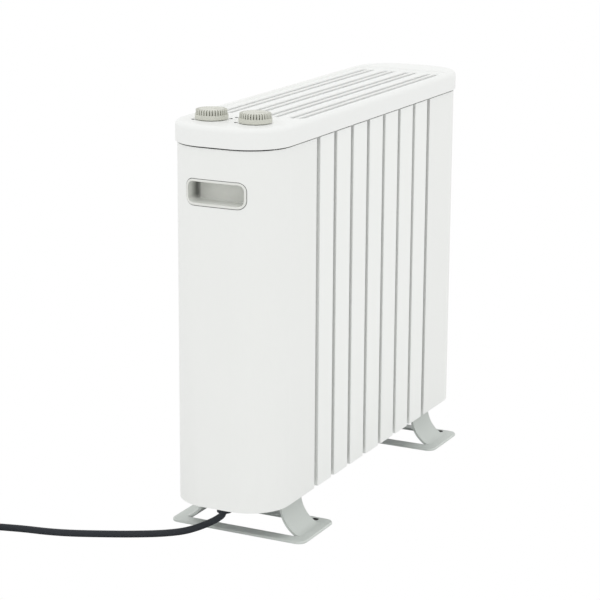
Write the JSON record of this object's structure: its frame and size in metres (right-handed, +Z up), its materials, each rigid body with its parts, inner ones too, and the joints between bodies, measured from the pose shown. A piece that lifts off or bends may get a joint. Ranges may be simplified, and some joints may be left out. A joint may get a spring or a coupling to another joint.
{
  "type": "oil_free_radiator",
  "caption": "Free-standing electric oil-free radiator with a louvred lid, control knobs, grooved steel sides, rounded end caps with handle cups, bent sheet feet and a mains lead",
  "frame": {"origin": "on the floor, midway between the feet and under the middle of the heater", "axes": "+X along the heater away from the control end, +Y towards the hidden long side, +Z up"},
  "size_m": [0.6579, 0.423, 0.4301],
  "materials": {
    "white_plastic": "fine satin moulding",
    "white_enamel": "smooth white enamel",
    "grey_plastic": "satin warm grey moulding",
    "grey_enamel": "satin light grey powder coat",
    "zinc_sheet": "bare zinc-plated sheet",
    "steel": "plated steel",
    "aluminium": "extruded, unpolished",
    "brass": "stamped and plated",
    "ceramic_white": "unglazed white",
    "dark_plastic": "heat-proof dark moulding",
    "black_rubber": "matt black sheath",
    "lead_sleeve": "braided and silicone sleeves"
  },
  "bodies": {
    "heater": {"lid": "white_plastic", "near_end_cap": "white_plastic", "far_end_cap": "white_plastic", "near_handle_cup": "grey_plastic", "far_handle_cup": "grey_plastic", "front_side_panel": "white_enamel", "rear_side_panel": "white_enamel", "base_plate": "zinc_sheet", "near_foot": "grey_enamel", "far_foot": "grey_enamel", "control_bracket": "zinc_sheet", "thermostat_housing": "dark_plastic", "power_switch_housing": "dark_plastic", "bimetal_leaf": "brass", "thermostat_terminals": "brass", "power_switch_terminals": "brass", "control_nuts": "brass", "near_bulkhead": "zinc_sheet", "far_bulkhead": "zinc_sheet", "lower_element_fins": "aluminium", "lower_element_rod": "steel", "upper_element_fins": "aluminium", "upper_element_rod": "steel", "element_beads": "ceramic_white", "neutral_strap": "brass", "thermal_cutout": "dark_plastic", "terminal_block": "dark_plastic", "cable_gland": "black_rubber", "mains_cord": "black_rubber", "cord_coil": "black_rubber", "cord_tie": "dark_plastic", "plug_body": "black_rubber", "plug_pins": "brass", "cord_cores": "lead_sleeve", "low_heat_lead": "lead_sleeve", "high_heat_lead": "lead_sleeve", "thermostat_lead": "lead_sleeve", "link_lead": "lead_sleeve", "live_lead": "lead_sleeve", "earth_lead": "lead_sleeve", "neutral_lead": "lead_sleeve", "foot_screws": "steel", "cap_screws": "steel", "lid_screws": "steel", "bracket_screws": "steel", "bulkhead_screws": "steel", "earth_screw": "brass"},
    "thermostat_control": {"thermostat_knob": "grey_plastic", "thermostat_spindle": "steel"},
    "thermostat_adjuster": {"thermostat_set_pin": "ceramic_white"},
    "power_control": {"power_knob": "grey_plastic", "power_switch_shaft": "steel"}
  },
  "joints": [
    {"name": "thermostat_turn", "type": "hinge", "parent": "heater", "child": "thermostat_control", "pos_m": [-0.203, 0.0238, 0.42], "axis": [0, 0, 1], "range_deg": [-300, 0]},
    {"name": "set_pin_travel", "type": "slide", "parent": "heater", "child": "thermostat_adjuster", "axis": [0, 0, -1], "range_m": [0, 0.00065]},
    {"name": "power_turn", "type": "hinge", "parent": "heater", "child": "power_control", "pos_m": [-0.203, -0.0238, 0.42], "axis": [0, 0, 1], "range_deg": [-180, 0]}
  ],
  "couplings": [
    {"joint": "set_pin_travel", "follows": "thermostat_turn", "m_per_rad": -0.00011937}
  ]
}
